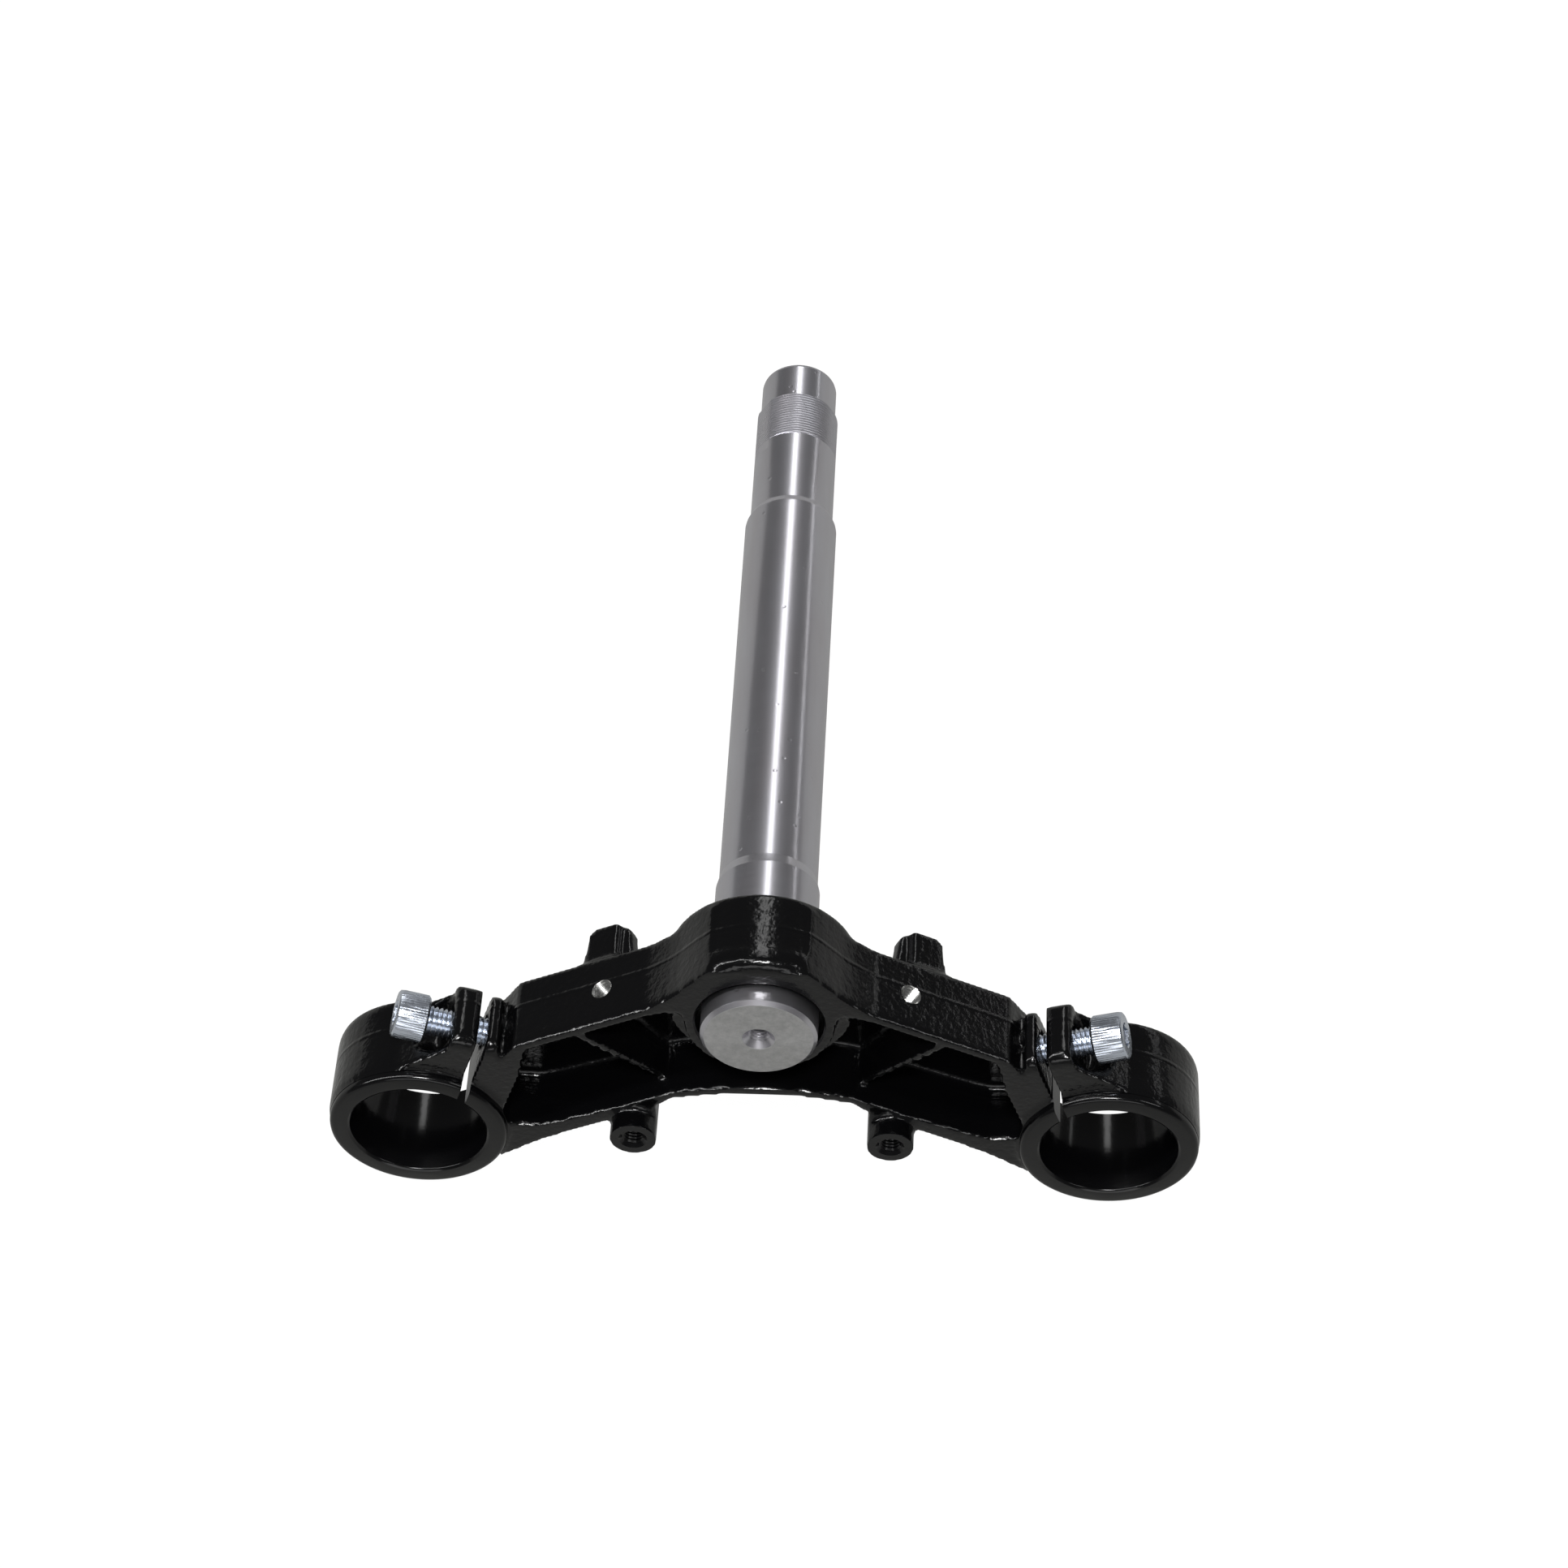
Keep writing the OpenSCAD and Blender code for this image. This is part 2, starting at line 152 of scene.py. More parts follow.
def placed(piece, x=0, y=0, z=0, turn_y=0, turn_z=0):
    """Turns a piece about Y and then Z, in degrees, and moves it to a place in millimetres."""
    piece.matrix_world = (Matrix.Translation(Vector((x, y, z)) * MM)
                          @ Matrix.Rotation(math.radians(turn_z), 4, "Z")
                          @ Matrix.Rotation(math.radians(turn_y), 4, "Y"))
    return settle(piece)

# %% [markdown]
# A thread is one tooth swept along a helix. A stack of rings would look almost the same from afar,
# but a helix has the right slope and the right start. The Screw modifier sweeps a tooth that is one
# pitch high, so each turn meets the next, and two bisect cuts close the ends. The same rod is the
# thread of a screw and, as a cutter, the tap for a threaded hole.

# %% A threaded rod
def threaded(name, outer, inner, pitch, z0, z1, steps=40, crest=(0.44, 0.56)):
    turns = math.ceil((z1 - z0) / pitch) + 3
    mesh = bpy.data.meshes.new(name)
    tooth = [(inner, 0), (outer, crest[0] * pitch), (outer, crest[1] * pitch), (inner, pitch)]
    start = z0 - 1.73 * pitch
    mesh.from_pydata([(r * MM, 0, (start + h) * MM) for r, h in tooth], [(0, 1), (1, 2), (2, 3)], [])
    rod = bpy.data.objects.new(name, mesh)
    bpy.context.collection.objects.link(rod)
    modify(rod, "SCREW", angle=math.tau, screw_offset=pitch * MM, iterations=turns, steps=steps,
           render_steps=steps, use_merge_vertices=True, merge_threshold=1e-6)
    outward(rod)
    for height, side in ((z0, 1), (z1, -1)):
        bpy.ops.object.mode_set(mode="EDIT")
        bpy.ops.mesh.select_all(action="SELECT")
        bpy.ops.mesh.bisect(plane_co=(0, 0, height * MM), plane_no=(0, 0, 1), use_fill=True,
                            clear_inner=side > 0, clear_outer=side < 0, threshold=1e-7)
        bpy.ops.object.mode_set(mode="OBJECT")
    return outward(rod)

# %% [markdown]
# Machining is done with booleans: what a drill or a cutter takes away is one Difference, and what
# is one piece of steel on the real object is joined by Union. The cutter's material goes to the
# faces that it makes, which is how the tapped holes come out bare in a painted casting.

# %% Cut and join
def machine(piece, *cutters, action="DIFFERENCE"):
    for cutter in cutters:
        modify(piece, "BOOLEAN", object=cutter, operation=action, solver="EXACT", material_mode="TRANSFER")
        bpy.data.objects.remove(cutter)
    return piece

# %% [markdown]
# Every colour is written as the sRGB hex value that a painter would read off, and one function turns
# it linear. One other function adds a node, sets its values and links its inputs.

# %% Colour and node helpers
def linear(hex_colour):
    channels = [int(hex_colour[i:i + 2], 16) / 255 for i in (1, 3, 5)]
    return [c / 12.92 if c <= 0.04045 else ((c + 0.055) / 1.055) ** 2.4 for c in channels] + [1]


def add_node(tree, kind, settings=None, **inputs):
    """Adds a node; each input is a value or another node's output, by the input's name."""
    node = tree.nodes.new(kind)
    for name, value in (settings or {}).items():
        setattr(node, name, value)
    for name, value in inputs.items():
        socket = node.inputs[int(name[1:])] if name[1:].isdigit() else node.inputs[name.replace("_", " ")]
        if isinstance(value, bpy.types.NodeSocket):
            tree.links.new(value, socket)
        else:
            socket.default_value = value
    return node


def new_material(name):
    material = bpy.data.materials.new(name)
    material.use_nodes = True
    material.node_tree.nodes.clear()
    return material, material.node_tree


def close_material(tree, shader):
    output = tree.nodes.new("ShaderNodeOutputMaterial")
    tree.links.new(shader, output.inputs["Surface"])

# %% [markdown]
# Gloss black paint over sand-cast aluminium: the casting is blasted, painted with a sprayed enamel
# and stoved. The eye sees an almost black body, a wet highlight on every rounded edge, and the orange
# peel of the paint over the grain of the sand, which breaks those highlights into dots. The dots are
# 1.5 to 2 mm apart, so one noise is that wide and a finer one rides on it. Where the two halves of the
# mould met, 13.5 mm above the rim, a low ridge runs round the walls; it is far too low for the mesh.
# Turned faces and bores got the same paint, but they are smooth below it and have no ridge.

# %% Black paint
SEAM_HEIGHT, SEAM_HALF_WIDTH = 13.5, 0.9  # millimetres


def black_paint(name, grain, seam_strength):
    material, tree = new_material(name)
    spot = add_node(tree, "ShaderNodeTexCoord").outputs["Object"]
    sand = add_node(tree, "ShaderNodeTexNoise", Vector=spot, Scale=1500.0, Detail=2.0, Roughness=0.6)
    peel = add_node(tree, "ShaderNodeTexNoise", Vector=spot, Scale=560.0, Detail=1.0, Roughness=0.5)
    cloud = add_node(tree, "ShaderNodeTexNoise", Vector=spot, Scale=60.0, Detail=3.0)
    rough = add_node(tree, "ShaderNodeMapRange", Value=cloud.outputs["Fac"], To_Min=0.1, To_Max=0.2)
    height = add_node(tree, "ShaderNodeSeparateXYZ", Vector=spot)
    off = add_node(tree, "ShaderNodeMath", {"operation": "SUBTRACT"}, _0=height.outputs["Z"],
                   _1=SEAM_HEIGHT * MM)
    away = add_node(tree, "ShaderNodeMath", {"operation": "ABSOLUTE"}, _0=off.outputs["Value"])
    ridge = add_node(tree, "ShaderNodeMapRange", {"interpolation_type": "SMOOTHSTEP"},
                     Value=away.outputs["Value"], From_Min=0.0, From_Max=SEAM_HALF_WIDTH * MM, To_Min=1.0,
                     To_Max=0.0)
    worn = add_node(tree, "ShaderNodeMath", {"operation": "MULTIPLY"}, _0=ridge.outputs["Result"],
                    _1=cloud.outputs["Fac"])
    seam = add_node(tree, "ShaderNodeBump", Height=worn.outputs["Value"], Strength=seam_strength,
                    Distance=0.0004)
    fine = add_node(tree, "ShaderNodeBump", Height=sand.outputs["Fac"], Strength=0.5 * grain, Distance=0.0002,
                    Normal=seam.outputs["Normal"])
    wide = add_node(tree, "ShaderNodeBump", Height=peel.outputs["Fac"], Strength=grain, Distance=0.0003,
                    Normal=fine.outputs["Normal"])
    shader = add_node(tree, "ShaderNodeBsdfPrincipled", Base_Color=linear("#060607"),
                      Roughness=rough.outputs["Result"], IOR=1.42, Normal=wide.outputs["Normal"])
    close_material(tree, shader.outputs["BSDF"])
    return material


paint = black_paint("gloss_black_enamel_on_cast_aluminium", grain=0.45, seam_strength=0.5)
smooth_paint = black_paint("gloss_black_enamel_on_turned_faces", grain=0.06, seam_strength=0.0)

# %% [markdown]
# Bare aluminium, where a drill and a tap went through the paint: bright, a little rough, faintly warm.

# %% Bare aluminium
def bare_aluminium():
    material, tree = new_material("bare_tapped_aluminium")
    spot = add_node(tree, "ShaderNodeTexCoord").outputs["Object"]
    grain = add_node(tree, "ShaderNodeTexNoise", Vector=spot, Scale=900.0, Detail=3.0)
    rough = add_node(tree, "ShaderNodeMapRange", Value=grain.outputs["Fac"], To_Min=0.14, To_Max=0.3)
    shader = add_node(tree, "ShaderNodeBsdfPrincipled", Base_Color=linear("#CFCFCD"), Metallic=1.0,
                      Roughness=rough.outputs["Result"])
    close_material(tree, shader.outputs["BSDF"])
    return material


bare = bare_aluminium()

# %% [markdown]
# Ground steel: the stem was turned and then ground between centres, which leaves fine rings all
# round it, and years of handling left a few pits and a brownish cast. The rings of a real grinding
# wheel are far finer than a pixel, so they are drawn 0.3 to 0.6 mm apart, and the polished skin
# stretches its highlights across them. The lower end face is mottled, because it was never greased.
# The thread was cut and never ground, so it is rougher. The height of a point decides which finish it
# gets. Handling scuffs only part of the skin, so two metal shaders are mixed: the polished one gives
# the sharp line of the window and the scuffed one the pale glow on both sides of it.

# %% Ground steel
END_FACE_HIGH, END_FACE_LOW = -4.65, -4.78  # heights in millimetres, like the next three
THREAD_FROM, THREAD_TO, TOP_FACE = 209.4, 225.8, 239.9


def ground_steel():
    material, tree = new_material("ground_steel_handled")
    spot = add_node(tree, "ShaderNodeTexCoord").outputs["Object"]
    stretched = add_node(tree, "ShaderNodeMapping", Vector=spot, Scale=(30.0, 30.0, 2400.0))
    rings = add_node(tree, "ShaderNodeTexNoise", Vector=stretched.outputs["Vector"], Scale=1.0, Detail=2.0)
    along = add_node(tree, "ShaderNodeMapping", Vector=spot, Scale=(160.0, 160.0, 30.0))
    stain = add_node(tree, "ShaderNodeTexNoise", Vector=along.outputs["Vector"], Scale=1.0, Detail=4.0)
    mottle = add_node(tree, "ShaderNodeTexNoise", Vector=spot, Scale=420.0, Detail=6.0, Roughness=0.7)
    pit_map = add_node(tree, "ShaderNodeTexVoronoi", {"feature": "F1"}, Vector=spot, Scale=170.0)
    pits = add_node(tree, "ShaderNodeMapRange", Value=pit_map.outputs["Distance"], From_Min=0.06,
                    From_Max=0.12, To_Min=1.0, To_Max=0.0)
    height = add_node(tree, "ShaderNodeSeparateXYZ", Vector=spot)
    below = add_node(tree, "ShaderNodeMapRange", Value=height.outputs["Z"], From_Min=END_FACE_HIGH * MM,
                     From_Max=END_FACE_LOW * MM)
    tint = add_node(tree, "ShaderNodeMix", {"data_type": "RGBA"}, Factor=stain.outputs["Fac"],
                    _6=linear("#C2BEC2"), _7=linear("#D2D3DA"))
    end_tint = add_node(tree, "ShaderNodeMix", {"data_type": "RGBA"}, Factor=mottle.outputs["Fac"],
                        _6=linear("#8E8E8F"), _7=linear("#D8D8D8"))
    colour = add_node(tree, "ShaderNodeMix", {"data_type": "RGBA"}, Factor=below.outputs["Result"],
                      _6=tint.outputs[2], _7=end_tint.outputs[2])
    stem_rough = add_node(tree, "ShaderNodeMapRange", Value=rings.outputs["Fac"], To_Min=0.13, To_Max=0.21)
    end_rough = add_node(tree, "ShaderNodeMapRange", Value=mottle.outputs["Fac"], To_Min=0.5, To_Max=0.24)
    over_start = add_node(tree, "ShaderNodeMath", {"operation": "GREATER_THAN"}, _0=height.outputs["Z"],
                          _1=THREAD_FROM * MM)
    under_end = add_node(tree, "ShaderNodeMath", {"operation": "LESS_THAN"}, _0=height.outputs["Z"],
                         _1=THREAD_TO * MM)
    cut = add_node(tree, "ShaderNodeMath", {"operation": "MULTIPLY"}, _0=over_start.outputs["Value"],
                   _1=under_end.outputs["Value"])
    turned_rough = add_node(tree, "ShaderNodeMix", {"data_type": "FLOAT"}, Factor=cut.outputs["Value"],
                            _2=stem_rough.outputs["Result"], _3=0.22)
    rough = add_node(tree, "ShaderNodeMix", {"data_type": "FLOAT"}, Factor=below.outputs["Result"],
                     _2=turned_rough.outputs[0], _3=end_rough.outputs["Result"])
    ring_bump = add_node(tree, "ShaderNodeBump", Height=rings.outputs["Fac"], Strength=0.03, Distance=0.0001)
    pit_bump = add_node(tree, "ShaderNodeBump", {"invert": True}, Height=pits.outputs["Result"], Strength=0.3,
                        Distance=0.0002, Normal=ring_bump.outputs["Normal"])
    top = add_node(tree, "ShaderNodeMath", {"operation": "GREATER_THAN"}, _0=height.outputs["Z"],
                   _1=TOP_FACE * MM)
    rough = add_node(tree, "ShaderNodeMath", {"operation": "MULTIPLY_ADD"}, _0=top.outputs["Value"], _1=0.35,
                     _2=rough.outputs[0])
    scuffed = add_node(tree, "ShaderNodeMath", {"operation": "ADD"}, _0=rough.outputs[0], _1=0.26)
    around = add_node(tree, "ShaderNodeTangent", {"direction_type": "RADIAL", "axis": "Z"}).outputs["Tangent"]
    polished_skin = add_node(tree, "ShaderNodeBsdfPrincipled", Base_Color=colour.outputs[2], Metallic=1.0,
                             Roughness=rough.outputs[0], Anisotropic=0.7, Tangent=around,
                             Normal=pit_bump.outputs["Normal"])
    scuffed_skin = add_node(tree, "ShaderNodeBsdfPrincipled", Base_Color=colour.outputs[2], Metallic=1.0,
                            Roughness=scuffed.outputs["Value"], Normal=pit_bump.outputs["Normal"])
    skin = add_node(tree, "ShaderNodeMixShader", _0=0.45, _1=polished_skin.outputs["BSDF"],
                    _2=scuffed_skin.outputs["BSDF"])
    close_material(tree, skin.outputs["Shader"])
    return material


steel = ground_steel()

# %% [markdown]
# Bright zinc plating with a blue passivate, as on most new socket head screws: a hard, bluish white
# metal with fine lines along the knurl of the head.

# %% Zinc plating
def zinc_plating():
    material, tree = new_material("blue_bright_zinc_plating")
    spot = add_node(tree, "ShaderNodeTexCoord").outputs["Object"]
    cloud = add_node(tree, "ShaderNodeTexNoise", Vector=spot, Scale=500.0, Detail=4.0)
    rough = add_node(tree, "ShaderNodeMapRange", Value=cloud.outputs["Fac"], To_Min=0.16, To_Max=0.34)
    bump = add_node(tree, "ShaderNodeBump", Height=cloud.outputs["Fac"], Strength=0.25, Distance=0.0002)
    shader = add_node(tree, "ShaderNodeBsdfPrincipled", Base_Color=linear("#D5DCE8"), Metallic=1.0,
                      Roughness=rough.outputs["Result"], Normal=bump.outputs["Normal"])
    close_material(tree, shader.outputs["BSDF"])
    return material


zinc = zinc_plating()

# %% [markdown]
# The casting. Foundry first, machine shop second, as on the real part. A copy of the CAD node is
# merged, the machined holes are filled with plugs, and a voxel remesh with a little smoothing rounds
# every edge as sand and paint do. Beveling the CAD edges would be sharper, but where ribs, ears and
# rings run into each other a bevel breaks down, and a remesh blends them the way molten metal does.

# %% Cast the clamp
SIDES = (-1, 1)
FORK_X, FORK_Y = 93.4, 48.8
RING_LOW, RING_HIGH, HUB_HIGH = -2.8, 23.0, 24.6
LUG_X, LUG_Y, LUG_LOW = 34.6, 45.1, -6.0
REAR_HOLES = ((-42.2, 1.5), (39.2, 0.0))
REAR_Z, SWEEP = 11.5, 26.56
PINCH_X, PINCH_Y, PINCH_Z, PINCH_TURN = 75.85, 20.02, 10.0, 18
VOXEL = 0.8
SLIT_WIDTH, SLIT_LENGTH, SLIT_DEPTH, SLIT_MIDDLE = 2.5, 43.0, 60.0, 10.5

casting = copy_of(bpy.data.objects["lower_clamp"], "clamp_casting")
outward(casting)
casting.data.materials.clear()
casting.data.materials.append(paint)


def drilled_across(piece, x, y):
    """Lays a piece that was made along Z across the rear wall, mouth outwards."""
    piece.rotation_euler = (-math.pi / 2, 0, 0)
    settle(piece)
    return placed(piece, x, y, REAR_Z, turn_z=SWEEP if x > 0 else -SWEEP)


stock = [turned("stock_hub", [(17.6, 0.2), (17.6, HUB_HIGH + 0.6)])]
for side in SIDES:
    for name, r, x, y, low, high in (("stock_ring", 24.2, FORK_X, FORK_Y, RING_LOW - 0.7, RING_HIGH + 0.7),
                                     ("stock_lug", 6.3, LUG_X, LUG_Y, LUG_LOW - 0.6, LUG_LOW + 15)):
        stock.append(placed(turned(name, [(r, low), (r, high)]), side * x, y))
for x, y in REAR_HOLES:
    stock.append(drilled_across(turned("stock_wall", [(3.6, 0.0), (3.6, 7.6)], 48), x, y))
pick(casting, *stock)
bpy.ops.object.join()
modify(casting, "REMESH", mode="VOXEL", voxel_size=VOXEL * MM)
modify(casting, "SMOOTH", factor=0.5, iterations=4)
print("cast:", len(casting.data.polygons), "faces")

# %% [markdown]
# Now the machine shop. The ends of the clamps, the top of the hub and the lugs are faced, then come
# the fork bores with their chamfers, the counterbore and press bore of the hub, and the tapped holes.
# The rear taps carry bare aluminium. The bores and the lugs were painted over, as the photograph
# shows them. The lower face of each clamp is a turned boss with a rounded edge, so it is made as a
# turned solid and joined: a cutter could not leave that edge without a shape of its own.

# %% Machine the clamp
def tool(name, steps, x=0, y=0, sides=128, finish=smooth_paint):
    """A cutter that is turned, carries the finish that it leaves, and stands at its place."""
    cutter = placed(turned(name, steps, sides), x, y)
    cutter.data.materials.append(finish)
    return cutter


def saw(side):
    """The saw that parts the ears and goes through into the fork bore."""
    bpy.ops.mesh.primitive_cube_add(size=1)
    blade = bpy.context.object
    blade.scale = (SLIT_WIDTH * MM, SLIT_LENGTH * MM, SLIT_DEPTH * MM)
    settle(blade)
    blade.location.y = SLIT_MIDDLE * MM
    settle(blade)
    blade.data.materials.append(smooth_paint)
    return placed(blade, side * PINCH_X, PINCH_Y, turn_z=-side * PINCH_TURN)


machine(casting, tool("face_hub", [(25.9, HUB_HIGH), (25.9, HUB_HIGH + 3)]),
        tool("counterbore", [(18.6, -1.2), (16.9, 0.5), (16.9, 8.0), (14.6, 8.0), (14.6, 27.0)]))
for side in SIDES:
    at = side * FORK_X, FORK_Y
    machine(casting, tool("face_ring_low", [(27.0, RING_LOW - 4), (27.0, -0.4)], *at),
            tool("face_ring_high", [(27.0, RING_HIGH), (27.0, RING_HIGH + 3)], *at))
    machine(casting, tool("turned_boss", [(22.7, RING_LOW), (23.4, RING_LOW + 0.15), (23.9, RING_LOW + 0.6),
                                          (24.1, RING_LOW + 1.3), (24.1, 2.0)], *at), action="UNION")
    machine(casting, tool("fork_bore", [(20.2, RING_LOW - 0.8), (19.2, RING_LOW + 0.05),
                                        (18.7, RING_LOW + 0.3), (18.5, RING_LOW + 0.6),
                                        (18.5, RING_HIGH + 1.0)], *at), saw(side))
    at = side * LUG_X, LUG_Y
    tap = threaded("tap", 3.15, 2.6, 1.0, LUG_LOW - 1, LUG_LOW + 14, 32)
    tap.data.materials.append(smooth_paint)
    machine(casting, tool("face_lug", [(7.0, LUG_LOW - 4), (7.0, LUG_LOW)], *at, 48),
            tool("lug_mouth", [(4.9, LUG_LOW - 1), (3.0, LUG_LOW + 0.9)], *at, 48), placed(tap, *at))
for x, y in REAR_HOLES:
    tap = threaded("tap", 3.15, 2.6, 1.0, -1, 9, 32)
    tap.data.materials.append(bare)
    machine(casting, drilled_across(tap, x, y))
clean(casting)
bpy.ops.object.shade_smooth_by_angle(angle=math.radians(38))
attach(casting, "root")
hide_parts("lower_clamp")
print("machined:", len(casting.data.polygons), "faces")

# %% [markdown]
# The stem is one piece of steel from the head under the hub to the plain end on top: press fit,
# bearing seat, tube, upper seat, fine thread and plain end. The thread is 1 mm, as on steering
# stems of this size, and a flat across it keys the lock washer.

# %% Turn the stem
KEY_ANGLE, KEY_FACE, KEY_LOW, KEY_HIGH = 213, 11.5, 205.25, 225.75
KEY_CUT, KEY_LENGTH = 6.0, 14.0

stem = turned("steering_stem_turned", [
    (14.0, -4.8), (14.3, -4.75), (15.35, -3.7), (15.4, -3.4), (15.4, 8.0), (14.5, 8.0), (14.5, 24.6),
    (14.0, 24.8), (14.0, 43.8), (13.9, 44.2), (13.3, 47.0), (13.3, 179.4), (13.15, 180.3), (12.1, 182.8),
    (12.0, 183.6), (12.0, 208.9), (11.1, 209.8), (11.1, 238.4), (10.9, 239.2), (9.8, 240.0)], 128)
thread = threaded("stem_thread", 12.0, 11.3, 1.0, 209.3, 225.7, 96, crest=(0.42, 0.58))
machine(stem, thread, action="UNION")

bpy.ops.mesh.primitive_cube_add(size=1)
flat = bpy.context.object
flat.scale = (KEY_CUT * MM, KEY_LENGTH * MM, (KEY_HIGH - KEY_LOW) * MM)
flat.rotation_euler.z = math.radians(KEY_ANGLE)
flat.location = Matrix.Rotation(math.radians(KEY_ANGLE), 4, "Z") @ Vector((
    (KEY_FACE + KEY_CUT / 2) * MM, 0, (KEY_LOW + KEY_HIGH) / 2 * MM))
machine(stem, settle(flat))
centre = threaded("centre_tap", 3.0, 2.5, 1.0, -6, 11, 32)
countersink = turned("countersink", [(5.4, -5.9), (2.6, -2.9)], 48)
machine(stem, countersink, centre)
stem.data.materials.clear()
stem.data.materials.append(steel)
clean(stem)
bpy.ops.object.shade_smooth_by_angle(angle=math.radians(12))
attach(stem, "root")
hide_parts("steering_stem")
print("stem:", len(stem.data.polygons), "faces")

# %% [markdown]
# A socket head screw, M8, 25 mm under the head, threaded all the way. It is modelled once along Z
# with its head up. The socket is a hexagonal hole 6 mm across the flats, and pulling in every third
# corner of the head's 144 makes the 48 grooves of its knurl.

# %% Model one screw
EAR_FACE, LEFT_GAP, RIGHT_GAP = 8.25, 6.3, 4.7
HEAD_RADIUS, HEAD_SIDES, KNURL_SHRINK = 6.5, 144, 0.983

screw = turned("screw", [(5.9, 0.0), (HEAD_RADIUS, 0.6), (HEAD_RADIUS, 6.9), (6.3, 8.15), (5.8, 8.5)],
               HEAD_SIDES)
for corner in screw.data.vertices:
    corner_number = round(math.atan2(corner.co.y, corner.co.x) * HEAD_SIDES / math.tau)
    if math.hypot(corner.co.x, corner.co.y) > (HEAD_RADIUS - 0.05) * MM and corner_number % 3 == 0:
        corner.co.x, corner.co.y = corner.co.x * KNURL_SHRINK, corner.co.y * KNURL_SHRINK
shank = threaded("screw_thread", 3.9, 3.3, 1.25, -25, 0.6, 48)
machine(screw, shank, action="UNION")
bpy.ops.mesh.primitive_cylinder_add(vertices=6, radius=0.006 / 2 / math.cos(math.pi / 6), depth=0.009,
                                    location=(0, 0, 0.0085))
machine(screw, settle(bpy.context.object))
mouth = turned("socket_mouth", [(2.6, 7.7), (3.9, 9.0)], 48)
machine(screw, mouth)
screw.data.materials.clear()
screw.data.materials.append(zinc)
clean(screw)
bpy.ops.object.shade_smooth_by_angle(angle=math.radians(32))

# %% [markdown]
# Both screws are turned out a few millimetres, the left one further. The second is a turned copy,
# never a mirrored one, because a mirror would make its thread left-handed.

# %% Put the screws in their ears
for side, gap, node in ((-1, LEFT_GAP, "pinch_bolt_left"), (1, RIGHT_GAP, "pinch_bolt_right")):
    piece = copy_of(screw, node + "_threaded")
    turn = -PINCH_TURN if side > 0 else 180 + PINCH_TURN
    reach = EAR_FACE + gap
    placed(piece, side * (PINCH_X + reach * math.cos(math.radians(PINCH_TURN))),
           PINCH_Y - reach * math.sin(math.radians(PINCH_TURN)), PINCH_Z, turn_y=90, turn_z=turn)
    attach(piece, "root")
    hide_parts(node)
bpy.data.objects.remove(screw)

# %% [markdown]
# The table. In the part's own frame the table is not level: the part lies on the fronts of its two
# fork clamps and on the top of its stem, and the pale plane goes through those three places. The
# camera sees it glow nearly white, and metal and gloss paint see a share of that glow. Seen from behind
# it lets everything through, so that it hides nothing in other views.

# %% Table
TABLE_TILT, TABLE_Y, TABLE_Z = 105.6, 72.2, 21.1
CAMERA_SHARE, MIRROR_SHARE = 0.8, 0.18

bpy.ops.mesh.primitive_plane_add(size=5, location=(0, TABLE_Y * MM, TABLE_Z * MM),
                                 rotation=(math.radians(TABLE_TILT), 0, 0))
table = bpy.context.object
table.name = "table"
material, tree = new_material("white_table")
diffuse = add_node(tree, "ShaderNodeBsdfDiffuse", Color=linear("#7C7C78"))
glow = add_node(tree, "ShaderNodeEmission", Color=(1, 1, 1, 1), Strength=1.24)
path = add_node(tree, "ShaderNodeLightPath")
seen = add_node(tree, "ShaderNodeMath", {"operation": "MULTIPLY"}, _0=path.outputs["Is Camera Ray"],
                _1=CAMERA_SHARE)
mirrored = add_node(tree, "ShaderNodeMath", {"operation": "ADD"}, _0=path.outputs["Is Glossy Ray"],
                    _1=path.outputs["Is Transmission Ray"])
share = add_node(tree, "ShaderNodeMath", {"operation": "MULTIPLY_ADD", "use_clamp": True},
                 _0=mirrored.outputs["Value"], _1=MIRROR_SHARE, _2=seen.outputs["Value"])
front = add_node(tree, "ShaderNodeMixShader", _0=share.outputs["Value"], _1=diffuse.outputs["BSDF"],
                 _2=glow.outputs["Emission"])
clear = add_node(tree, "ShaderNodeBsdfTransparent")
behind = add_node(tree, "ShaderNodeNewGeometry").outputs["Backfacing"]
both = add_node(tree, "ShaderNodeMixShader", _0=behind, _1=front.outputs["Shader"], _2=clear.outputs["BSDF"])
close_material(tree, both.outputs["Shader"])
table.data.materials.append(material)

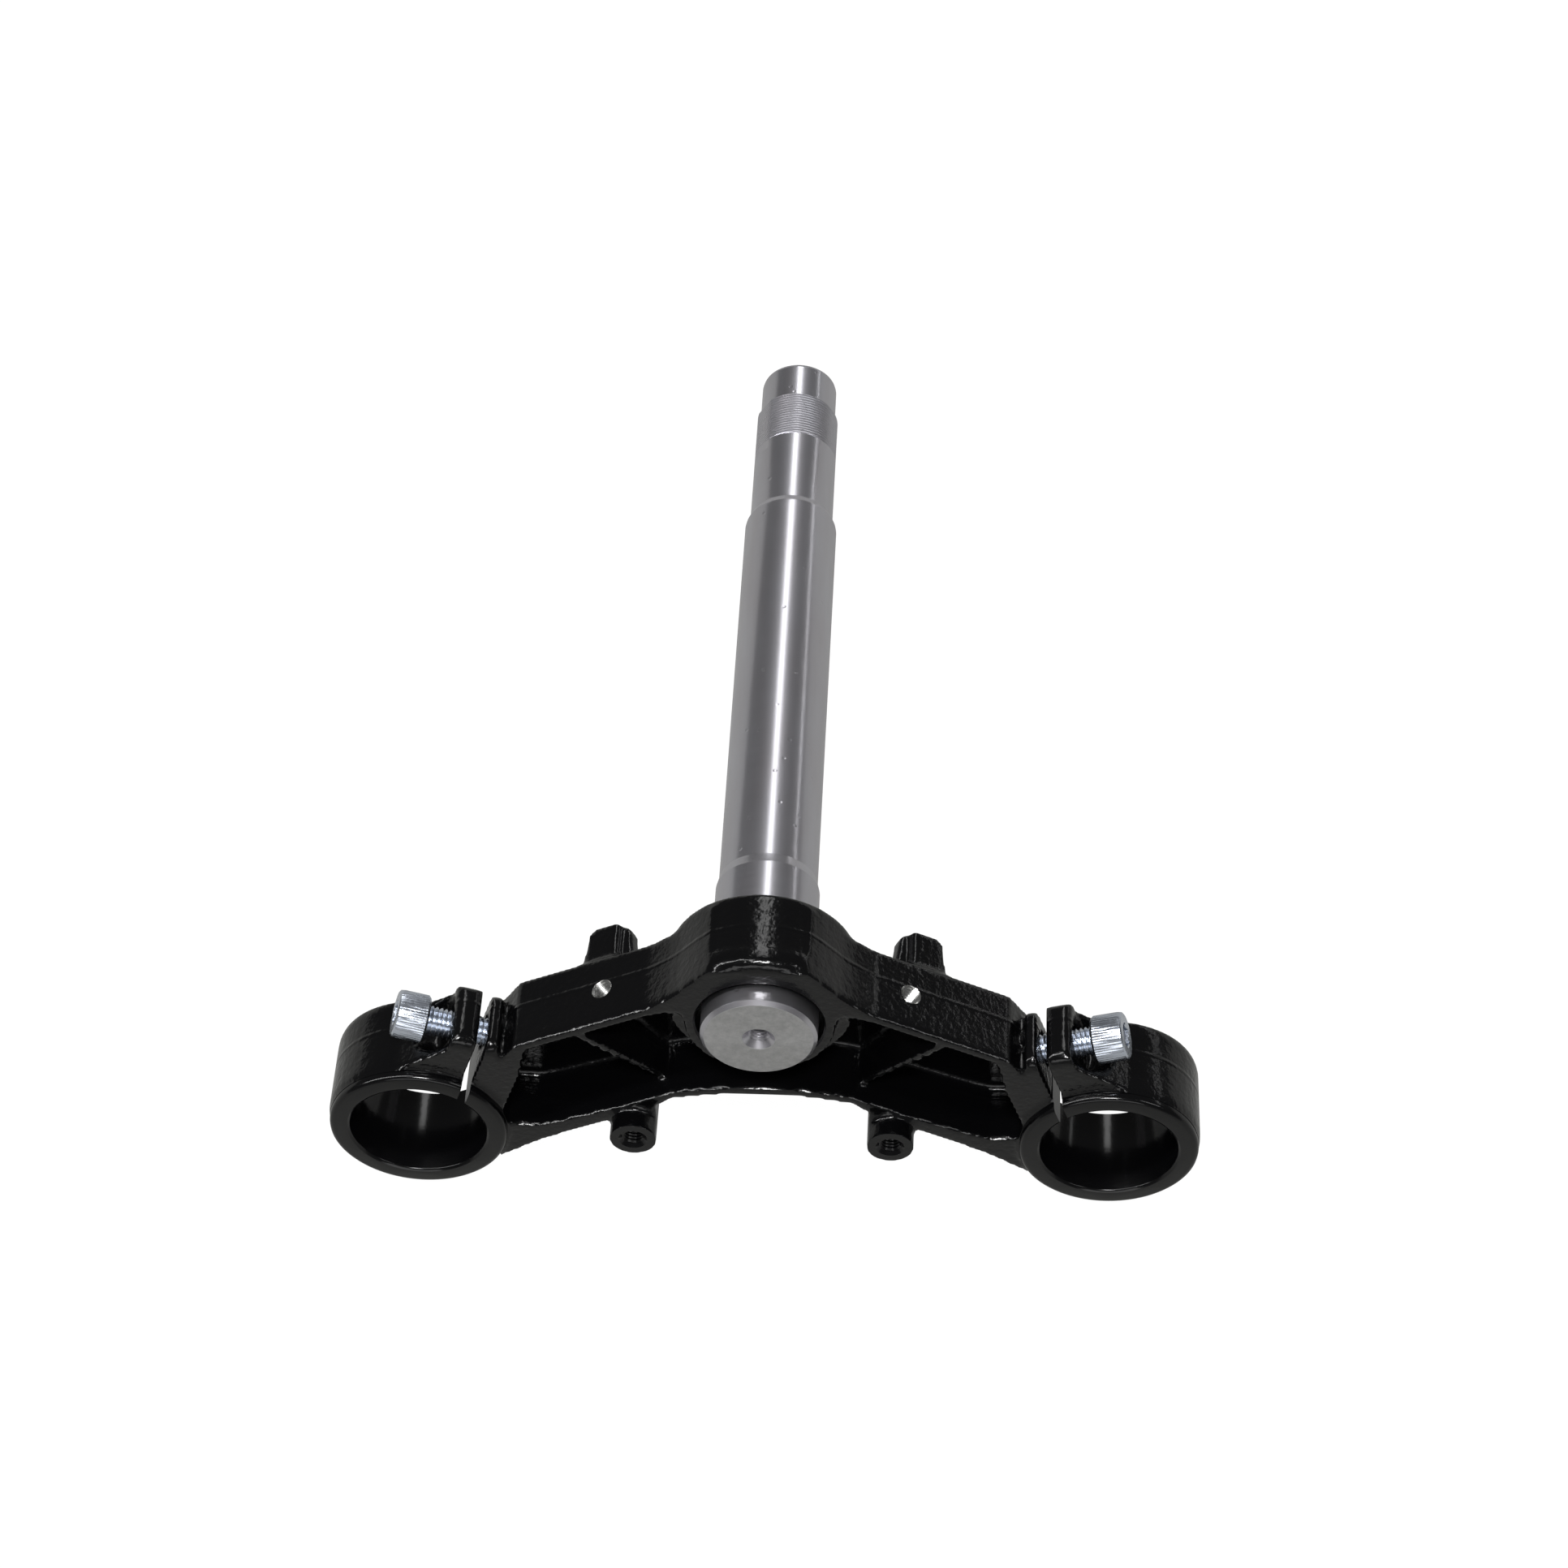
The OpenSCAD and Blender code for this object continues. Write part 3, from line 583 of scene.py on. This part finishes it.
# %% [markdown]
# Light. Metal and gloss paint show what is around them, so the surroundings matter as much as the
# lamps: white on the table's side, and a dim room on the camera's side. A tall window high behind the
# camera gives the stem its long highlight, and a narrow one to the right the second line. A lamp
# beside the camera and two low strips, bright on the left, put the sparkle on the rounded edges, and
# a pale wall below lights the flanks of the stem's thread.

# %% World and lamps
world = bpy.data.worlds.new("dim_room_with_white_table")
bpy.context.scene.world = world
world.use_nodes = True
tree = world.node_tree
tree.nodes.clear()
path = add_node(tree, "ShaderNodeLightPath")
direction = add_node(tree, "ShaderNodeTexCoord").outputs["Generated"]
part_y = add_node(tree, "ShaderNodeSeparateXYZ", Vector=direction)
toward = add_node(tree, "ShaderNodeMapRange", Value=part_y.outputs["Y"], From_Min=-0.1, From_Max=0.5,
                  To_Min=0.1, To_Max=0.25)
room = add_node(tree, "ShaderNodeBackground", Color=(1, 1, 1, 1), Strength=toward.outputs["Result"])
white = add_node(tree, "ShaderNodeBackground", Color=(1, 1, 1, 1), Strength=1.0)
mixed = add_node(tree, "ShaderNodeMixShader", _0=path.outputs["Is Camera Ray"],
                 _1=room.outputs["Background"], _2=white.outputs["Background"])
output = tree.nodes.new("ShaderNodeOutputWorld")
tree.links.new(mixed.outputs["Shader"], output.inputs["Surface"])


def lamp(name, toward, distance, width, height, watts, target=(0, 0.02, 0.06)):
    """A soft rectangular lamp in a direction from the part, facing it."""
    direction = Vector(toward).normalized()
    spot = Vector(target) + direction * distance
    bpy.ops.object.light_add(type="AREA", location=spot)
    light = bpy.context.object
    light.name = name
    light.data.shape = "RECTANGLE"
    light.data.size, light.data.size_y = width, height
    light.data.energy = watts
    light.rotation_mode = "QUATERNION"
    light.rotation_quaternion = direction.to_track_quat("Z", "Y")
    return light


lamp("tall_window", (0.02, -0.76, 0.65), 2.0, 0.3, 1.6, 5.5)
lamp("narrow_window_right", (0.677, -0.345, 0.65), 2.0, 0.05, 1.6, 0.9)
lamp("lamp_beside_camera", (0.02, -0.86, -0.5), 2.0, 0.5, 0.3, 26)
lamp("pale_wall_below", (0.0, -0.16, -0.99), 2.0, 1.8, 0.7, 7)
lamp("low_strip_left", (-0.6, -0.77, -0.2), 2.0, 2.2, 0.16, 22)
lamp("low_strip_right", (0.75, -0.63, -0.2), 2.0, 0.8, 0.15, 3)
